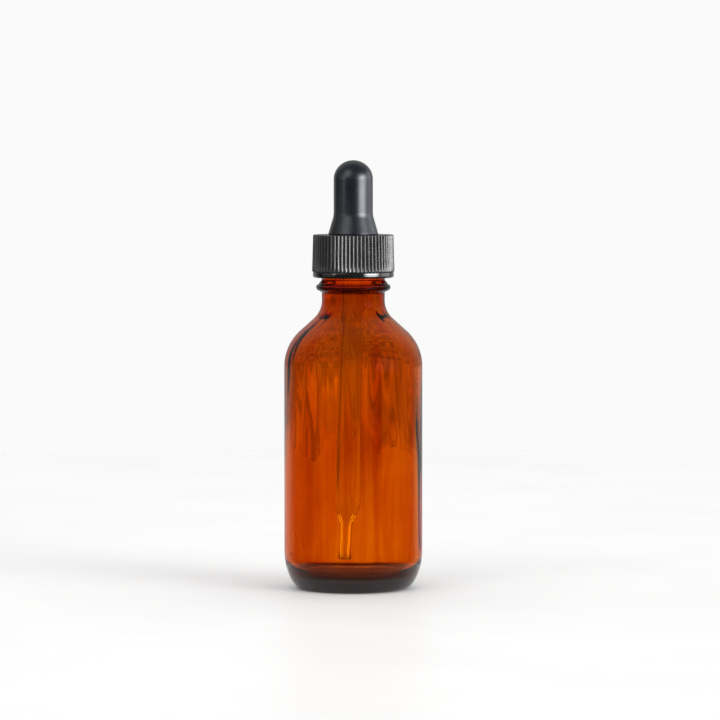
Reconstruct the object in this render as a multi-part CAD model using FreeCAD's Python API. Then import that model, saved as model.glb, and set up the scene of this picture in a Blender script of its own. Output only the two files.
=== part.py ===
import FreeCAD
import Part

import math
import os

# Dropper bottle: a round-shouldered glass bottle, a ribbed screw cap, a moulded rubber bulb
# and a drawn glass pipette. Millimetres, +Z up, origin at the centre of the foot on the table.
# Every radius is measured from the bottle's axis and every level from the table.

Vector = FreeCAD.Vector

# ---- bottle body ----
body_diameter = 38.9
bottle_height = 95.0
wall = 2.0
heel_width = 5.1
heel_height = 11.4
foot_ring_width = 1.6
push_up = 1.8
floor_level = 4.8
floor_edge_drop = 1.0
floor_edge_inset = 6.5
inner_heel_height = 9.8
shoulder_slope = 48.0
shoulder_radius = 13.5
neck_fillet = 7.0
inner_neck_fillet = 8.0

# ---- bottle neck and its finish ----
neck_diameter = 17.7
neck_wall = 2.95
lip_outer_radius = 0.9
lip_inner_radius = 0.5
neck_below_bead = 2.6
bead_reach = 1.6
bead_half_height = 0.95
bead_rim_width = 0.8
bead_top_slope = 1.3
bead_under_slope = 0.5

# ---- screw thread, a right-hand single start ----
thread_lead = 3.175
thread_depth = 1.15
thread_below_lip = 2.0
thread_turns = 1.1
ridge_root_width = 2.0
ridge_crest_width = 0.9
ridge_bite = 0.2
cap_thread_turns = 1.05
cap_ridge_root_width = 1.5
cap_ridge_crest_width = 0.7
thread_crest_clearance = 0.2
thread_root_clearance = 0.35

# ---- cap ----
cap_height = 12.0
cap_top_thickness = 1.9
cap_above_bead = 1.8
skirt_top_wall = 1.08
skirt_foot_wall = 1.4
cap_edge_radius = 0.35
rib_count = 64
rib_depth = 0.45
rib_crest_share = 0.30
rib_root_share = 0.42
rim_height = 1.6
rim_wall = 1.15
rim_edge_radius = 0.4
skirt_lead_in = 0.5

# ---- glass pipette ----
pipette_diameter = 7.0
pipette_wall = 1.0
pipette_lean = 1.6
pipette_lip_reach = 0.4
pipette_lip_height = 0.9
tip_above_floor = 3.4
tip_diameter = 3.4
tip_bore = 1.4
tip_ball_reach = 0.15
tip_length = 9.4
taper_length = 6.0

# ---- rubber bulb, moulded round the pipette ----
bulb_height = 20.8
bulb_wall = 1.35
chamber_step = 0.65
collar_wall = 2.62
pipette_grip = 0.1
flare_overhang = 0.88
flare_slope = 15.5
flare_blend_radius = 6.0
flange_overlap = 0.6
flange_thickness = 2.4
collar_clearance = 0.08
seat_clearance = 0.05
seat_above_cap = 2.2
squeeze_half_width = 3.0
squeeze_clearance = 0.15
squeeze_margin = 0.3

# ---- radii that follow from the sizes above ----
body_radius = body_diameter / 2
neck_radius = neck_diameter / 2
bore_radius = neck_radius - neck_wall
thread_radius = neck_radius + thread_depth
bead_radius = neck_radius + bead_reach
foot_outer_radius = body_radius - heel_width
foot_inner_radius = foot_outer_radius - foot_ring_width
floor_edge_radius = body_radius - floor_edge_inset
cap_bore_radius = thread_radius + thread_crest_clearance
cap_thread_radius = neck_radius + thread_root_clearance
cap_top_radius = cap_bore_radius + skirt_top_wall
cap_foot_radius = cap_bore_radius + skirt_foot_wall
rim_radius = cap_bore_radius + rim_wall
pipette_radius = pipette_diameter / 2
chamber_radius = pipette_radius + chamber_step
bulb_radius = chamber_radius + bulb_wall
collar_radius = pipette_radius + collar_wall
cap_hole_radius = collar_radius + collar_clearance
flare_radius = collar_radius + flare_overhang
flange_radius = neck_radius + flange_overlap

# ---- levels that follow from the sizes above ----
lip_level = bottle_height
flange_underside = lip_level + seat_clearance
flange_top = flange_underside + flange_thickness
cap_ceiling = flange_top + seat_clearance
cap_top_level = cap_ceiling + cap_top_thickness
cap_foot_level = cap_top_level - cap_height
bead_level = cap_foot_level - cap_above_bead - bead_half_height
neck_foot_level = bead_level - bead_half_height - neck_below_bead
thread_foot_level = lip_level - thread_below_lip - thread_lead * thread_turns
bulb_foot_level = cap_top_level + seat_clearance
bulb_top_level = bulb_foot_level + bulb_height
dome_level = bulb_top_level - bulb_radius
flare_turn = math.radians(flare_slope)
flare_blend_height = flare_blend_radius * math.sin(flare_turn)
flare_blend_reach = flare_blend_radius * (1 - math.cos(flare_turn))
flare_cone_height = (flare_radius - bulb_radius - flare_blend_reach) / math.tan(flare_turn)
tube_foot_level = bulb_foot_level + flare_cone_height + flare_blend_height
seat_level = cap_top_level + seat_above_cap
chamber_level = seat_level + chamber_step
tip_level = floor_level + tip_above_floor
lean_pivot = Vector(0, 0, flange_underside + flange_thickness / 2)
squeeze_foot_level = tube_foot_level + squeeze_margin


def line(start, end):
    """Straight edge between two (radius, level) points."""
    return Part.LineSegment(Vector(start[0], 0, start[1]), Vector(end[0], 0, end[1])).toShape()


def arc(start, through, end):
    """Circular edge through three (radius, level) points."""
    points = [Vector(p[0], 0, p[1]) for p in (start, through, end)]
    return Part.Arc(*points).toShape()


def round_arc(centre, radius, first, last):
    """Circular edge about a centre, from one angle to another in degrees above the radial direction."""
    def at(angle):
        turn = math.radians(angle)
        return (centre[0] + radius * math.cos(turn), centre[1] + radius * math.sin(turn))
    return arc(at(first), at((first + last) / 2), at(last))


def quarter_ellipse(centre, across, up):
    """Lower outer quarter of an ellipse, from straight below its centre to straight out from it."""
    middle = Vector(centre[0], 0, centre[1])
    out = Vector(centre[0] + across, 0, centre[1])
    below = Vector(centre[0], 0, centre[1] - up)
    if up > across:
        ellipse = Part.Ellipse(below, out, middle)
        return Part.ArcOfEllipse(ellipse, 0, math.pi / 2).toShape()
    ellipse = Part.Ellipse(out, below, middle)
    return Part.ArcOfEllipse(ellipse, -math.pi / 2, 0).toShape()


def turned(edges):
    """Solid swept by a closed outline of edges once round the axis."""
    outline = Part.Wire(Part.__sortEdges__(edges))
    return Part.Face(outline).revolve(Vector(0, 0, 0), Vector(0, 0, 1), 360)


def polygon(points):
    """Edges of a closed outline of straight lines."""
    return [line(a, b) for a, b in zip(points, points[1:] + points[:1])]


def ring(inner, outer, foot, top):
    """Plain tube between two radii and two levels."""
    return turned(polygon([(inner, foot), (outer, foot), (outer, top), (inner, top)]))


def helical_ridge(root, crest, root_width, crest_width, foot, first_turn, turns):
    """Ridge of one screw thread, from root radius to crest radius.

    foot is the level of the ridge's middle at azimuth 0, first_turn is where it starts, in turns.
    """
    start = foot + first_turn * thread_lead
    helix = Part.makeHelix(thread_lead, turns * thread_lead, root)
    section = Part.makePolygon([
        Vector(root, 0, -root_width / 2),
        Vector(crest, 0, -crest_width / 2),
        Vector(crest, 0, crest_width / 2),
        Vector(root, 0, root_width / 2),
        Vector(root, 0, -root_width / 2),
    ])
    ridge = Part.Wire(helix).makePipeShell([section], True, True)
    ridge.rotate(Vector(0, 0, 0), Vector(0, 0, 1), 360 * first_turn)
    ridge.translate(Vector(0, 0, start))
    return ridge


def shoulder_line():
    """Corner points of the outer shoulder: neck arc's end, body arc's end and body arc's centre."""
    slope = math.radians(shoulder_slope)
    rise, across = math.cos(slope), math.sin(slope)
    neck_centre = (neck_radius + neck_fillet, neck_foot_level)
    cone_top = (neck_centre[0] - neck_fillet * rise, neck_centre[1] - neck_fillet * across)
    cone_foot_radius = body_radius - shoulder_radius * (1 - rise)
    cone_length = (cone_foot_radius - cone_top[0]) / across
    cone_foot = (cone_foot_radius, cone_top[1] - cone_length * rise)
    body_centre = (body_radius - shoulder_radius, cone_foot[1] - shoulder_radius * across)
    return neck_centre, cone_top, cone_foot, body_centre


def bottle():
    """One-piece moulded glass bottle with its thread and transfer bead."""
    slope = math.radians(shoulder_slope)
    rise, across = math.cos(slope), math.sin(slope)
    neck_centre, cone_top, cone_foot, body_centre = shoulder_line()
    bead_top = bead_level + bead_half_height
    bead_foot = bead_level - bead_half_height
    rim_start = bead_radius - bead_rim_width

    inner_slope_radius = shoulder_radius - wall
    inner_slope_end = (body_centre[0] + inner_slope_radius * rise,
                       body_centre[1] + inner_slope_radius * across)
    # The bore's fillet touches the inner cone, which lies one wall inside the outer one.
    reach = bore_radius + inner_neck_fillet - neck_centre[0]
    drop = (neck_fillet + wall - inner_neck_fillet + rise * reach) / across
    bore_centre = (bore_radius + inner_neck_fillet, neck_centre[1] - drop)
    bore_slope_end = (bore_centre[0] - inner_neck_fillet * rise,
                      bore_centre[1] - inner_neck_fillet * across)
    inner_radius = body_radius - wall
    floor_edge_level = floor_level - floor_edge_drop

    outline = [
        line((foot_inner_radius, 0), (foot_outer_radius, 0)),
        quarter_ellipse((foot_outer_radius, heel_height), heel_width, heel_height),
        line((body_radius, heel_height), (body_radius, body_centre[1])),
        round_arc(body_centre, shoulder_radius, 0, shoulder_slope),
        line(cone_foot, cone_top),
        round_arc(neck_centre, neck_fillet, 180 + shoulder_slope, 180),
        line((neck_radius, neck_foot_level), (neck_radius, bead_foot - bead_under_slope)),
        line((neck_radius, bead_foot - bead_under_slope), (rim_start, bead_foot)),
        arc((rim_start, bead_foot), (bead_radius, bead_level), (rim_start, bead_top)),
        line((rim_start, bead_top), (neck_radius, bead_top + bead_top_slope)),
        line((neck_radius, bead_top + bead_top_slope), (neck_radius, lip_level - lip_outer_radius)),
        round_arc((neck_radius - lip_outer_radius, lip_level - lip_outer_radius), lip_outer_radius, 0, 90),
        line((neck_radius - lip_outer_radius, lip_level), (bore_radius + lip_inner_radius, lip_level)),
        round_arc((bore_radius + lip_inner_radius, lip_level - lip_inner_radius), lip_inner_radius, 90, 180),
        line((bore_radius, lip_level - lip_inner_radius), (bore_radius, bore_centre[1])),
        round_arc(bore_centre, inner_neck_fillet, 180, 180 + shoulder_slope),
        line(bore_slope_end, inner_slope_end),
        round_arc(body_centre, inner_slope_radius, shoulder_slope, 0),
        line((inner_radius, body_centre[1]), (inner_radius, inner_heel_height)),
        quarter_ellipse((floor_edge_radius, inner_heel_height), inner_radius - floor_edge_radius,
                        inner_heel_height - floor_edge_level),
        arc((floor_edge_radius, floor_edge_level),
            crown_middle(floor_edge_radius, floor_edge_drop, floor_level), (0, floor_level)),
        line((0, floor_level), (0, push_up)),
        arc((0, push_up), crown_middle(foot_inner_radius, push_up, push_up), (foot_inner_radius, 0)),
    ]
    glass = turned(outline)
    ridge = helical_ridge(neck_radius - ridge_bite, thread_radius, ridge_root_width, ridge_crest_width,
                          thread_foot_level, 0, thread_turns)
    return glass.fuse(ridge).removeSplitter()


def crown_middle(radius, height, top):
    """Point half-way along a crowned arc that is level at the axis and drops by height at radius."""
    crown = (radius * radius + height * height) / (2 * height)
    half = math.asin(radius / crown) / 2
    return (crown * math.sin(half), top - crown * (1 - math.cos(half)))


def ribbed_outline(radius, level):
    """Closed outline of the cap's ribs at one level, four corners to each rib."""
    step = 2 * math.pi / rib_count
    valley = radius - rib_depth
    rib_corners = (
        (-rib_crest_share / 2, radius),
        (rib_crest_share / 2, radius),
        (0.5 - rib_root_share / 2, valley),
        (0.5 + rib_root_share / 2, valley),
    )
    corners = []
    for rib in range(rib_count):
        for share, reach in rib_corners:
            angle = (rib + share) * step
            corners.append(Vector(reach * math.cos(angle), reach * math.sin(angle), level))
    return Part.makePolygon(corners + corners[:1])


def screw_cap():
    """Moulded cap: ribbed skirt with draft, plain rim, centre hole and internal thread."""
    rib_foot = cap_foot_level + rim_height
    draft = (cap_foot_radius - cap_top_radius) / cap_height
    rib_foot_radius = cap_foot_radius - draft * rim_height
    ribs = Part.makeLoft([ribbed_outline(rib_foot_radius, rib_foot),
                          ribbed_outline(cap_top_radius, cap_top_level)], True, True)
    edge = cap_edge_radius
    envelope = turned([
        line((0, rib_foot), (cap_foot_radius, rib_foot)),
        line((cap_foot_radius, rib_foot), (cap_top_radius, cap_top_level - edge)),
        arc((cap_top_radius, cap_top_level - edge),
            (cap_top_radius - edge * (1 - math.sqrt(0.5)), cap_top_level - edge * (1 - math.sqrt(0.5))),
            (cap_top_radius - edge, cap_top_level)),
        line((cap_top_radius - edge, cap_top_level), (0, cap_top_level)),
        line((0, cap_top_level), (0, rib_foot)),
    ])
    bend = rim_edge_radius
    rim = turned([
        line((0, cap_foot_level), (rim_radius - bend, cap_foot_level)),
        round_arc((rim_radius - bend, cap_foot_level + bend), bend, -90, 0),
        line((rim_radius, cap_foot_level + bend), (rim_radius, rib_foot)),
        line((rim_radius, rib_foot), (0, rib_foot)),
        line((0, rib_foot), (0, cap_foot_level)),
    ])
    cavity = turned(polygon([
        (0, cap_foot_level), (cap_bore_radius + skirt_lead_in, cap_foot_level),
        (cap_bore_radius, cap_foot_level + skirt_lead_in), (cap_bore_radius, cap_ceiling), (0, cap_ceiling),
    ]))
    hole = Part.makeCylinder(cap_hole_radius, cap_height, Vector(0, 0, cap_foot_level))
    shell = ribs.common(envelope).fuse(rim).cut(cavity).cut(hole)
    # The cap's ridge runs half a lead below the bottle's, from just above the skirt's lead-in.
    foot = thread_foot_level - thread_lead / 2
    first_turn = (cap_foot_level + skirt_lead_in + cap_ridge_root_width / 2 - foot) / thread_lead
    ridge = helical_ridge(cap_bore_radius + ridge_bite, cap_thread_radius, cap_ridge_root_width,
                          cap_ridge_crest_width, foot, first_turn, cap_thread_turns)
    return shell.fuse(ridge).removeSplitter()


def leaned(shape):
    """The shape tipped by the pipette's lean about the middle of the bulb's flange."""
    shape.rotate(lean_pivot, Vector(0, 1, 0), pipette_lean)
    return shape


def bulb_moulding():
    """Whole rubber moulding: flange, collar, flare, tube and dome round a closed chamber."""
    blend_foot = (bulb_radius + flare_blend_reach, bulb_foot_level + flare_cone_height)
    blend_centre = (bulb_radius + flare_blend_radius, tube_foot_level)
    outside = turned([
        line((0, flange_underside), (flange_radius, flange_underside)),
        line((flange_radius, flange_underside), (flange_radius, flange_top)),
        line((flange_radius, flange_top), (collar_radius, flange_top)),
        line((collar_radius, flange_top), (collar_radius, bulb_foot_level)),
        line((collar_radius, bulb_foot_level), (flare_radius, bulb_foot_level)),
        line((flare_radius, bulb_foot_level), blend_foot),
        round_arc(blend_centre, flare_blend_radius, 180 + flare_slope, 180),
        line((bulb_radius, tube_foot_level), (bulb_radius, dome_level)),
        round_arc((0, dome_level), bulb_radius, 0, 90),
        line((0, bulb_top_level), (0, flange_underside)),
    ])
    chamber = turned([
        line((0, seat_level), (pipette_radius, seat_level)),
        line((pipette_radius, seat_level), (chamber_radius, chamber_level)),
        line((chamber_radius, chamber_level), (chamber_radius, dome_level)),
        round_arc((0, dome_level), chamber_radius, 0, 90),
        line((0, dome_level + chamber_radius), (0, seat_level)),
    ])
    grip_radius = pipette_radius - pipette_grip
    reach = seat_level - flange_underside
    bore = Part.makeCylinder(grip_radius, 2 * reach, Vector(0, 0, flange_underside - reach / 2))
    return outside.cut(chamber).cut(leaned(bore))


def squeeze_block(side, clearance):
    """Block round the wall that one finger presses, on side -1 or +1 of the bulb."""
    half = squeeze_half_width - clearance
    depth = 2 * bulb_radius
    height = dome_level - squeeze_foot_level - 2 * clearance
    near = -depth if side < 0 else 0
    return Part.makeBox(depth, 2 * half, height, Vector(near, -half, squeeze_foot_level + clearance))


def rubber_bulb():
    """The moulding less the two walls that the fingers press in."""
    moulding = bulb_moulding()
    for side in (-1, 1):
        moulding = moulding.cut(squeeze_block(side, 0))
    return moulding


def bulb_wall_side(side):
    """One pressed wall of the moulding, parted from the rest by a small gap."""
    return bulb_moulding().common(squeeze_block(side, squeeze_clearance))


def glass_pipette():
    """Drawn glass tube with a flared top lip, a long taper and a ball tip, leaning a little."""
    outer, inner = pipette_radius, pipette_radius - pipette_wall
    fine, orifice = tip_diameter / 2, tip_bore / 2
    lip, ball = outer + pipette_lip_reach, fine + tip_ball_reach
    taper_foot = tip_level + tip_length
    taper_top = taper_foot + taper_length
    taper_middle = (taper_foot + taper_top) / 2
    bend = pipette_lip_height / 2
    lip_level_above_seat = seat_level + pipette_lip_reach
    outside = [
        line((orifice, tip_level), (fine - bend, tip_level)),
        arc((fine - bend, tip_level), (ball, tip_level + 2 * bend), (fine, tip_level + 4 * bend)),
        line((fine, tip_level + 4 * bend), (fine, taper_foot)),
        s_curve((fine, taper_foot), ((fine + outer) / 2, taper_middle), (outer, taper_top)),
        line((outer, taper_top), (outer, seat_level)),
        line((outer, seat_level), (lip, lip_level_above_seat)),
        arc((lip, lip_level_above_seat), ((lip + inner) / 2, seat_level + pipette_lip_height + bend / 2),
            (inner, lip_level_above_seat)),
    ]
    inside = [
        line((inner, lip_level_above_seat), (inner, taper_top)),
        s_curve((inner, taper_top), ((orifice + inner) / 2, taper_middle), (orifice, taper_foot)),
        line((orifice, taper_foot), (orifice, tip_level)),
    ]
    return leaned(turned(outside + inside))


def s_curve(start, middle, end):
    """Smooth edge that leaves and arrives along the axis, through a middle point."""
    points = [Vector(p[0], 0, p[1]) for p in (start, middle, end)]
    along = Vector(0, 0, math.copysign(1, end[1] - start[1]))
    curve = Part.BSplineCurve()
    curve.interpolate(Points=points, InitialTangent=along, FinalTangent=along)
    return curve.toShape()


def main():
    """Builds each piece and writes it to its own STEP file."""
    pieces = {
        "bottle": bottle(),
        "screw_cap": screw_cap(),
        "rubber_bulb": rubber_bulb(),
        "bulb_wall_left": bulb_wall_side(-1),
        "bulb_wall_right": bulb_wall_side(1),
        "glass_pipette": glass_pipette(),
    }
    os.makedirs("parts", exist_ok=True)
    for name, shape in pieces.items():
        box = shape.BoundBox
        print(f"{name}: {len(shape.Solids)} solid, valid {shape.isValid()}, {shape.Volume:.1f} mm3, "
              f"level {box.ZMin:.2f} to {box.ZMax:.2f}, width {box.XLength:.2f}")
        shape.exportStep(f"parts/{name}.step")


main()
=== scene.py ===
"""Dropper bottle: amber glass bottle, ribbed screw cap, rubber bulb and clear glass pipette.

Shapes are worked out in millimetres in the CAD model's own frame and put into meshes in metres.
"""

from __future__ import annotations

import logging
import math
from dataclasses import dataclass
from enum import Enum

import bpy
import numpy as np
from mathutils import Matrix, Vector

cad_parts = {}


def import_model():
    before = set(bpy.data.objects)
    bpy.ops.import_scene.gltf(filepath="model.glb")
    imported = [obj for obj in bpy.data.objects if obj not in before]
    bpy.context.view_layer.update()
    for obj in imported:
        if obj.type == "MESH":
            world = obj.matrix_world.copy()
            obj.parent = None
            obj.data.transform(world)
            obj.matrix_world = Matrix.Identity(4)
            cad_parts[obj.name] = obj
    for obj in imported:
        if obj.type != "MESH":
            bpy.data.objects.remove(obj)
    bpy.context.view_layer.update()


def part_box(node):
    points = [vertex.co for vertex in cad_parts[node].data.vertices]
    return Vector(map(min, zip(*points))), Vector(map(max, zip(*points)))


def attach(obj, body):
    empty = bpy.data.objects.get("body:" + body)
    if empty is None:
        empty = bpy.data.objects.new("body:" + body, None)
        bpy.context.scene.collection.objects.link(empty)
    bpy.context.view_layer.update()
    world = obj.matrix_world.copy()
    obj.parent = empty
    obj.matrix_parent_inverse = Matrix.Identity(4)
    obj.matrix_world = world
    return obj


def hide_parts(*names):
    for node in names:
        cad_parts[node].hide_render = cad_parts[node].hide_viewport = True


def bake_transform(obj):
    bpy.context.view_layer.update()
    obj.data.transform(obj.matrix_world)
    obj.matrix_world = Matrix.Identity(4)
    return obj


LOG = logging.getLogger("dropper")
MM = 0.001
TURN = 2 * math.pi
WHITE = (1.0, 1.0, 1.0)

Object = bpy.types.Object
Material = bpy.types.Material
Socket = bpy.types.NodeSocket
Colour = tuple[float, float, float]
Pair = tuple[float, float]


class Body(str, Enum):
    """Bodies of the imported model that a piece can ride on."""

    BOTTLE = "bottle"
    DROPPER = "dropper"
    CAP = "cap"
    LEFT_WALL = "left_wall"
    RIGHT_WALL = "right_wall"


class Slot(str, Enum):
    """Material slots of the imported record."""

    AMBER = "amber_glass"
    PLASTIC = "black_plastic"
    RUBBER = "black_rubber"
    CLEAR = "clear_glass"


class Side(int, Enum):
    """The two sides of the bulb that fingers press."""

    LEFT = -1
    RIGHT = 1


class Ends(Enum):
    """How a grid of rows closes."""

    POLES = "first and last row are points on the axis"
    LOOP = "the last row joins the first"
    OPEN = "the rows don't close"


def span(node: str) -> Pair:
    """Lowest and highest level of a CAD node, in millimetres."""
    low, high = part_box(node)
    return round(low.z / MM, 3), round(high.z / MM, 3)


def smooth(value: np.ndarray | float) -> np.ndarray:
    """Smooth step: v squared times (3 - 2v), with v held between 0 and 1."""
    held = np.clip(value, 0.0, 1.0)
    return held * held * (3 - 2 * held)


def window(value: np.ndarray, low: float, high: float, soft: float) -> np.ndarray:
    """One between low and high, fading to nothing over the width soft inside each end."""
    return smooth((value - low) / soft) * smooth((high - value) / soft)


class Outline:
    """A line of (radius, level) points in millimetres, walked stretch by stretch."""

    def __init__(self, radius: float, level: float) -> None:
        """Starts at one point, given by its distance from the axis and its height."""
        self._runs: list[np.ndarray] = [np.array([[radius, level]])]

    @property
    def end(self) -> np.ndarray:
        """Last point so far."""
        return self._runs[-1][-1]

    def to(self, radius: float, level: float, steps: int = 1) -> Outline:
        """Straight stretch: start plus t times (end - start), t in equal steps.

        Args:
            radius: end radius.
            level: end level.
            steps: number of steps.

        Returns:
            This outline.
        """
        share = np.linspace(0, 1, steps + 1)[1:, None]
        self._runs.append(self.end + share * (np.array([radius, level]) - self.end))
        return self

    def round(self, centre: Pair, size: float | Pair, first: float, last: float, steps: int,
              before: int = 0) -> Outline:
        """Arc of a circle or ellipse: centre plus (size r times cos a, size z times sin a).

        Args:
            centre: middle of the arc.
            size: its radius, or its half width and half height.
            first: first angle, degrees above the radial direction.
            last: last angle.
            steps: number of steps.
            before: steps of a straight stretch that leads up to the arc.

        Returns:
            This outline.
        """
        angle = np.radians(np.linspace(first, last, steps + 1))
        arc = np.array(centre) + np.stack([np.cos(angle), np.sin(angle)], 1) * size
        if before:
            self.to(*arc[0], before)
        joins = np.hypot(*(arc[0] - self.end)) < 1e-4
        self._runs.append(arc[1:] if joins else arc)
        return self

    def glide(self, radius: float, level: float, steps: int) -> Outline:
        """Smooth change of radius over a rise: the radius follows a smooth step of the level.

        Args:
            radius: end radius.
            level: end level.
            steps: number of steps.

        Returns:
            This outline.
        """
        share = np.linspace(0, 1, steps + 1)[1:]
        start = self.end
        self._runs.append(np.stack([start[0] + smooth(share) * (radius - start[0]),
                                    start[1] + share * (level - start[1])], 1))
        return self

    def points(self) -> np.ndarray:
        """All points, one row each."""
        return np.concatenate(self._runs)


def lathe(outline: np.ndarray, columns: int) -> tuple[np.ndarray, np.ndarray, np.ndarray]:
    """Grid of a turned surface: every outline point carried round the axis in equal turns.

    Args:
        outline: (radius, level) rows.
        columns: number of steps round the axis.

    Returns:
        Radius, azimuth in radians and level, each rows by columns.
    """
    azimuth = np.arange(columns) * (TURN / columns)
    radius = np.repeat(outline[:, :1], columns, 1)
    level = np.repeat(outline[:, 1:], columns, 1)
    return radius, np.broadcast_to(azimuth, radius.shape).copy(), level


def place(radius: np.ndarray, azimuth: np.ndarray, level: np.ndarray) -> np.ndarray:
    """Points of a turned grid: x is r cos a, y is r sin a, z is the level."""
    return np.stack([radius * np.cos(azimuth), radius * np.sin(azimuth), level], -1)


def grid_faces(rows: int, columns: int, ends: Ends) -> list[np.ndarray]:
    """Faces of a grid whose last column joins its first: quads, and triangles at poles.

    Args:
        rows: number of rows of points.
        columns: points in a row.
        ends: how the rows close.

    Returns:
        Quads, and triangles where there are poles.
    """
    index = np.arange(rows * columns).reshape(rows, columns)
    if ends is Ends.LOOP:
        index = np.concatenate([index, index[:1]])
    if ends is Ends.POLES:
        index = index[1:-1]
    turned = np.roll(index, -1, 1)
    quads = np.stack([index[:-1], turned[:-1], turned[1:], index[1:]], -1).reshape(-1, 4)
    if ends is not Ends.POLES:
        return [quads]
    first = np.stack([np.zeros(columns, int), turned[0], index[0]], -1)
    last = np.stack([index[-1], turned[-1], np.full(columns, (rows - 1) * columns)], -1)
    return [quads, first, last]


def paint(piece: Object, name: str, share: np.ndarray, ends: Ends) -> None:
    """Stores a share, 0 to 1, at each point of a turned piece, for its material to read.

    Args:
        piece: the mesh object.
        name: the attribute's name.
        share: rows by columns.
        ends: how the grid closes; with poles, only one point of the first and last row is kept.
    """
    kept = share.ravel()
    if ends is Ends.POLES:
        kept = np.concatenate([share[0, :1], share[1:-1].ravel(), share[-1, :1]])
    layer = piece.data.attributes.new(name, "FLOAT", "POINT")
    layer.data.foreach_set("value", kept.astype(np.float32))


def make_piece(name: str, points: np.ndarray, faces: list[np.ndarray], crease: float = 40.0) -> Object:
    """Mesh object from points in millimetres, with unused points dropped.

    Args:
        name: the piece's name.
        points: one row per point.
        faces: arrays of faces, three or four corners each.
        crease: angle in degrees above which an edge stays sharp.

    Returns:
        The new object.
    """
    flat = points.reshape(-1, 3)
    used = np.unique(np.concatenate([f.ravel() for f in faces]))
    renumber = np.zeros(len(flat), int)
    renumber[used] = np.arange(len(used))
    corners = np.concatenate([renumber[f].ravel() for f in faces])
    counts = np.concatenate([np.full(len(f), f.shape[1]) for f in faces])
    starts = np.concatenate([[0], np.cumsum(counts)[:-1]])
    mesh = bpy.data.meshes.new(name)
    mesh.vertices.add(len(used))
    mesh.vertices.foreach_set("co", (flat[used] * MM).astype(np.float32).ravel())
    mesh.loops.add(len(corners))
    mesh.loops.foreach_set("vertex_index", corners.astype(np.int32))
    mesh.polygons.add(len(counts))
    mesh.polygons.foreach_set("loop_start", starts.astype(np.int32))
    mesh.polygons.foreach_set("use_smooth", np.ones(len(counts), bool))
    mesh.update(calc_edges=True)
    mesh.validate()
    mesh.set_sharp_from_angle(angle=math.radians(crease))
    piece = bpy.data.objects.new(name, mesh)
    bpy.context.scene.collection.objects.link(piece)
    return piece


def fetch(rows: bpy.types.bpy_prop_collection, name: str, width: int, kind: type) -> np.ndarray:
    """Reads one value of every row of a mesh's table.

    Args:
        rows: the mesh's points, corners or faces.
        name: which value.
        width: numbers in each value.
        kind: their type.

    Returns:
        Array of rows by width.
    """
    values = np.zeros(len(rows) * width, kind)
    rows.foreach_get(name, values)
    return values.reshape(-1, width)


@dataclass(frozen=True)
class Thread:
    """A one-start thread: a ridge of trapezoid section along a helix."""

    foot: float
    lead: float
    first: float
    turns: float
    root: float
    crest: float

    def height(self, azimuth: np.ndarray, level: np.ndarray) -> np.ndarray:
        """Height share: a trapezoid about the helix level, which is foot + lead * turn.

        Args:
            azimuth: angle in radians.
            level: height in millimetres.

        Returns:
            0 off the ridge to 1 on its crest.
        """
        share = np.zeros_like(level)
        for whole in range(-1, 4):
            turn = azimuth / TURN + whole
            away = np.abs(level - self.foot - self.lead * turn)
            flank = np.clip((self.root / 2 - away) / ((self.root - self.crest) / 2), 0, 1)
            share = np.maximum(share, flank * window(turn, self.first, self.first + self.turns, 0.05))
        return share


class Nodes:
    """Short ways to add nodes to a node tree and join them."""

    def __init__(self, tree: bpy.types.NodeTree, space: str) -> None:
        """Keeps the tree and the coordinates, Object or Generated, that its patterns read."""
        self.tree = tree
        self.coords = self.add("ShaderNodeTexCoord").outputs[space]

    def add(self, kind: str, **values: object) -> bpy.types.Node:
        """A new node of Blender's type kind, with its properties set."""
        node = self.tree.nodes.new(kind)
        for key, value in values.items():
            setattr(node, key, value)
        return node

    def link(self, source: Socket, target: Socket) -> None:
        """Joins two sockets."""
        self.tree.links.new(source, target)

    def axis(self, name: str) -> Socket:
        """One of the coordinates, X, Y or Z."""
        node = self.add("ShaderNodeSeparateXYZ")
        self.link(self.coords, node.inputs[0])
        return node.outputs[name]

    def math(self, operation: str, a: Socket, b: Socket) -> Socket:
        """One arithmetic node on two sockets."""
        node = self.add("ShaderNodeMath", operation=operation)
        self.link(a, node.inputs[0])
        self.link(b, node.inputs[1])
        return node.outputs[0]

    def between(self, factor: Socket, a: Socket, b: float) -> Socket:
        """Number that goes from a to b as the factor goes from 0 to 1."""
        node = self.add("ShaderNodeMix", data_type="FLOAT")
        node.inputs["B"].default_value = b
        self.link(factor, node.inputs["Factor"])
        self.link(a, node.inputs["A"])
        return node.outputs["Result"]

    def spread(self, factor: Socket, low: float, high: float, start: float = 0.0,
               stop: float = 1.0) -> Socket:
        """Maps a factor from start..stop to low..high, smoothly and held at the ends."""
        node = self.add("ShaderNodeMapRange", interpolation_type="SMOOTHSTEP")
        for key, value in (("From Min", start), ("From Max", stop), ("To Min", low), ("To Max", high)):
            node.inputs[key].default_value = value
        self.link(factor, node.inputs["Value"])
        return node.outputs["Result"]

    def noise(self, scale: float, detail: float = 3.0, roughness: float = 0.5,
              along: float = 1.0) -> Socket:
        """Noise on the coordinates.

        Args:
            scale: pattern repeats per unit.
            detail: octaves.
            roughness: weight of the finer octaves.
            along: scale on Z against the other axes; below 1 it is drawn out along Z.

        Returns:
            The noise value, 0 to 1.
        """
        mapping = self.add("ShaderNodeMapping")
        mapping.inputs["Scale"].default_value = (1.0, 1.0, along)
        self.link(self.coords, mapping.inputs["Vector"])
        node = self.add("ShaderNodeTexNoise")
        node.inputs["Scale"].default_value = scale
        node.inputs["Detail"].default_value = detail
        node.inputs["Roughness"].default_value = roughness
        self.link(mapping.outputs["Vector"], node.inputs["Vector"])
        return node.outputs["Fac"]


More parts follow.
